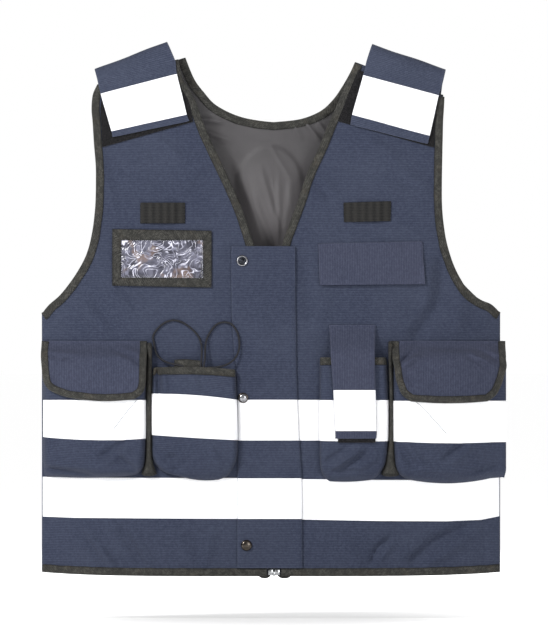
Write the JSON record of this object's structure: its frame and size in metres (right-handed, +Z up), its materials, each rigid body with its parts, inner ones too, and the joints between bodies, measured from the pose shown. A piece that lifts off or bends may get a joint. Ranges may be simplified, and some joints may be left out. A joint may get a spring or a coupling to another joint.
{
  "type": "tactical work vest",
  "caption": "Sleeveless zip-front work vest with reflective bands, hook-and-loop shoulder straps, flapped cargo pockets, small open pockets, a chest flap and an ID window",
  "frame": {"origin": "midway between the undersides of the two shoulders, where the vest hangs or is worn", "axes": "+Z up along the vest, -Y out of its front, +X to the wearer's left"},
  "size_m": [0.5824, 0.1292, 0.6699],
  "materials": {
    "navy_cloth": "matte ribbed weave",
    "black_binding": "matte twill tape",
    "grey_lining": "slightly shiny lining",
    "reflective_tape": "bright retroreflective film",
    "black_loop": "matte loop pile",
    "black_webbing": "matte webbing",
    "clear_film": "clear glossy film",
    "snap_metal": "dark nickel",
    "zip_metal": "bright metal",
    "black_cord": "braided cord"
  },
  "bodies": {
    "root": {"back_panel": "navy_cloth", "back_lining": "grey_lining", "front_panel_right": "navy_cloth", "front_panel_left": "navy_cloth", "back_neck_binding": "black_binding", "v_binding_right": "black_binding", "v_binding_left": "black_binding", "front_armhole_binding_right": "black_binding", "front_armhole_binding_left": "black_binding", "back_armhole_binding_right": "black_binding", "back_armhole_binding_left": "black_binding", "front_hem_binding_right": "black_binding", "front_hem_binding_left": "black_binding", "back_hem_binding": "black_binding", "shoulder_strap_right": "navy_cloth", "shoulder_strap_left": "navy_cloth", "strap_tape_right": "reflective_tape", "strap_tape_left": "reflective_tape", "shoulder_loop_patch_right": "black_loop", "shoulder_loop_patch_left": "black_loop", "placket": "navy_cloth", "placket_upper_tape": "reflective_tape", "placket_lower_tape": "reflective_tape", "snap_top": "snap_metal", "snap_middle": "snap_metal", "snap_bottom": "snap_metal", "zip_tape_right": "black_binding", "zip_tape_left": "black_binding", "zip_chain": "zip_metal", "mic_tab_right": "black_webbing", "mic_tab_left": "black_webbing", "id_window_frame": "black_binding", "id_window_film": "clear_film", "chest_flap": "navy_cloth", "cargo_bag_right": "navy_cloth", "cargo_bag_left": "navy_cloth", "cargo_flap_right": "navy_cloth", "cargo_flap_left": "navy_cloth", "cargo_flap_binding_right": "black_binding", "cargo_flap_binding_left": "black_binding", "cargo_tape_right": "reflective_tape", "cargo_tape_left": "reflective_tape", "cargo_edge_strip_right": "black_binding", "cargo_edge_strip_left": "black_binding", "small_bag_right": "navy_cloth", "small_bag_left": "navy_cloth", "small_mouth_binding_right": "black_binding", "small_mouth_binding_left": "black_binding", "small_tape_right": "reflective_tape", "small_tape_left": "reflective_tape", "light_flap": "navy_cloth", "light_flap_tape": "reflective_tape", "light_flap_patch": "black_loop", "cord_loop_outer": "black_cord", "cord_loop_inner": "black_cord", "front_upper_tape_left": "reflective_tape", "front_lower_tape_right": "reflective_tape", "front_lower_tape_left": "reflective_tape", "back_upper_tape": "reflective_tape", "back_lower_tape": "reflective_tape"}
  },
  "joints": []
}
